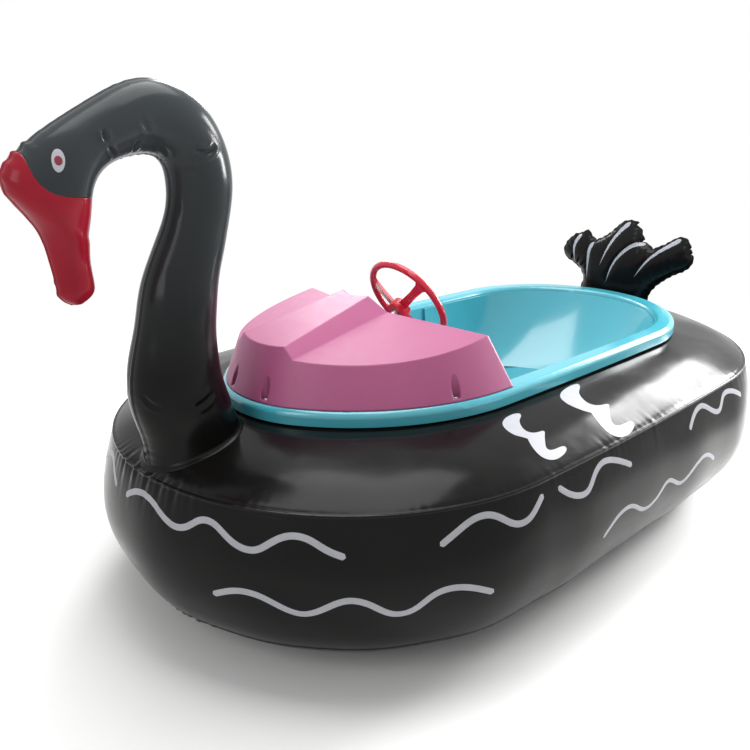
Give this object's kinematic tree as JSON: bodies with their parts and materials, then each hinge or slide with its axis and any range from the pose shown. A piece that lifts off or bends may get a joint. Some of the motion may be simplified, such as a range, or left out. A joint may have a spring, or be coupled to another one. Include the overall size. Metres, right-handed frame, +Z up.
{
  "type": "bumper boat",
  "caption": "Electric bumper boat for a child: inflated ring tube with a swan's neck, beak and tail fan round a moulded cockpit with hood, steering wheel and steerable motor pod.",
  "frame": {"origin": "on the floor under the air tube, on the centreline, at the middle of the boat's length", "axes": "+X to the bow, +Y to port, +Z up"},
  "size_m": [2.2812, 1.2908, 1.2275],
  "materials": {
    "black_pvc": "glossy coated fabric, inflated",
    "red_pvc": "glossy coated fabric, inflated",
    "valve_plastic": "moulded, satin",
    "hull_plastic": "glossy gel-coated moulding",
    "hood_plastic": "glossy moulding",
    "wheel_plastic": "glossy moulding",
    "black_plastic": "moulded, satin",
    "pedal_plastic": "ribbed moulding",
    "button_plastic": "glossy",
    "nylon": "natural, smooth",
    "steel": "zinc-plated",
    "gear_metal": "machined",
    "cast_metal": "as cast",
    "lead": "dull",
    "rubber": "matt"
  },
  "bodies": {
    "boat": {"air_tube": "black_pvc", "neck_head": "black_pvc", "beak": "red_pvc", "tail_fan": "black_pvc", "air_valves": "valve_plastic", "valve_caps": "valve_plastic", "hull_tub": "hull_plastic", "motor_well": "hull_plastic", "seat_moulding": "hull_plastic", "hood": "hood_plastic", "hood_screws": "steel", "drain_plug": "black_plastic", "column_bush_upper": "nylon", "column_bush_lower": "nylon", "column_bracket": "cast_metal", "bracket_screws": "steel", "button_housing": "black_plastic", "pod_bearing_housing": "cast_metal", "housing_screws": "steel", "pod_bush_upper": "nylon", "pod_bush_lower": "nylon", "shaft_seal": "rubber", "battery": "black_plastic", "battery_terminals": "lead", "battery_strap": "steel", "controller_box": "cast_metal", "pedal_bracket": "black_plastic", "pedal_pin": "steel", "pedal_spring": "steel"},
    "column": {"steering_wheel": "wheel_plastic", "wheel_nut": "steel", "hub_cap": "wheel_plastic", "column_shaft": "steel", "shaft_collar": "steel", "column_gear": "gear_metal"},
    "pod": {"pod_shaft": "steel", "pod_gear": "gear_metal", "thrust_washer": "nylon", "pod_collar": "steel", "motor_pod": "black_plastic", "pod_end_cap": "black_plastic", "drive_motor": "steel", "prop_guard": "black_plastic"},
    "propeller": {"prop_shaft": "steel", "propeller": "black_plastic", "prop_nut": "steel"},
    "pedal": {"pedal": "pedal_plastic"},
    "button": {"start_button": "button_plastic"}
  },
  "joints": [
    {"name": "pod_slew", "type": "hinge", "parent": "boat", "child": "pod", "pos_m": [0.443, 0, 0.105], "axis": [0, 0, 1], "continuous": true},
    {"name": "wheel_turn", "type": "hinge", "parent": "boat", "child": "column", "pos_m": [0.123, 0, 0.67], "axis": [-0.866, 0, 0.5], "continuous": true},
    {"name": "prop_spin", "type": "hinge", "parent": "pod", "child": "propeller", "pos_m": [0.443, 0, 0.105], "axis": [1, 0, 0], "continuous": true},
    {"name": "pedal_press", "type": "hinge", "parent": "boat", "child": "pedal", "pos_m": [0.253, -0.13, 0.128], "axis": [0, 1, 0], "range_deg": [0, 20], "stiffness_Nm_per_rad": 2, "springref_deg": -11.46},
    {"name": "button_press", "type": "slide", "parent": "boat", "child": "button", "axis": [0.866, 0, -0.5], "range_m": [0, 0.003], "stiffness_N_per_m": 400, "springref_m": -0.002}
  ],
  "couplings": [
    {"joint": "wheel_turn", "follows": "pod_slew", "ratio": 1}
  ]
}
